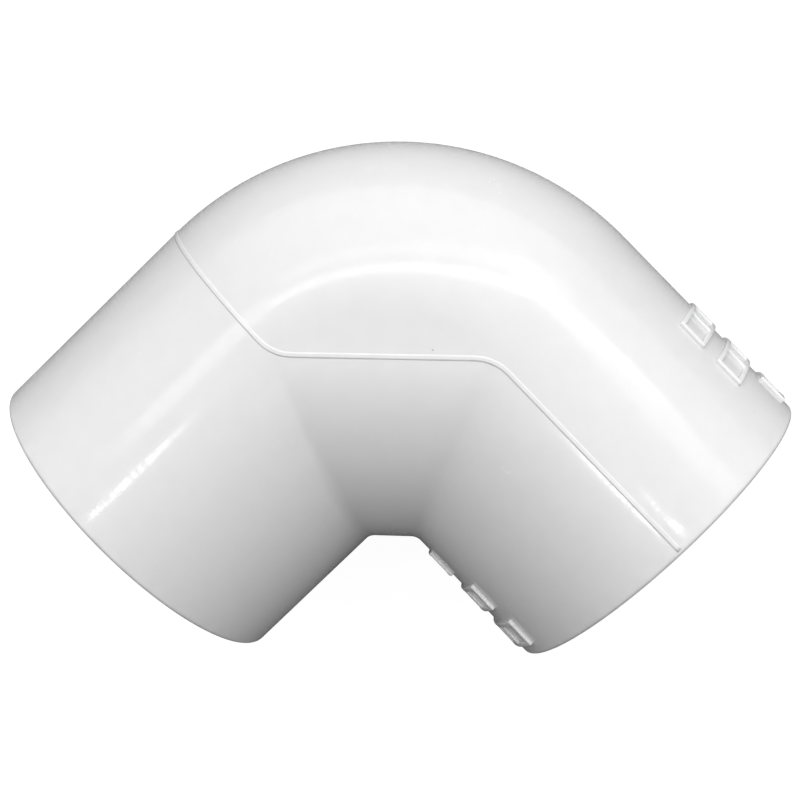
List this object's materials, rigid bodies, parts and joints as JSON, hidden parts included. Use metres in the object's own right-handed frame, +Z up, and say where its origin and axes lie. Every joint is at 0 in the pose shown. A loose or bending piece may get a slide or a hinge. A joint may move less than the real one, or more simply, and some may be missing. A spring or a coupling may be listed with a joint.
{
  "type": "conduit elbow",
  "caption": "Solid ninety degree elbow with equal plain sockets that join rigid plastic conduit round a corner, moulded in white plastic.",
  "frame": {"origin": "middle of the footprint, on the surface that the elbow lies on when its two socket axes are level; the socket axes cross at x = -6.5, y = -6.5, z = 12.06 mm", "axes": "+X out of the mouth of socket A, +Y out of the mouth of socket B, +Z up, square to the plane of the bend"},
  "size_m": [0.0372, 0.0371, 0.0241],
  "materials": {
    "moulded_pvc": "glossy moulded",
    "mould_flash": "glossy moulded",
    "raised_marks": "glossy moulded"
  },
  "bodies": {
    "root": {"elbow_body": "moulded_pvc", "parting_line": "mould_flash", "outer_marks": "raised_marks", "inner_marks": "raised_marks"}
  },
  "joints": []
}
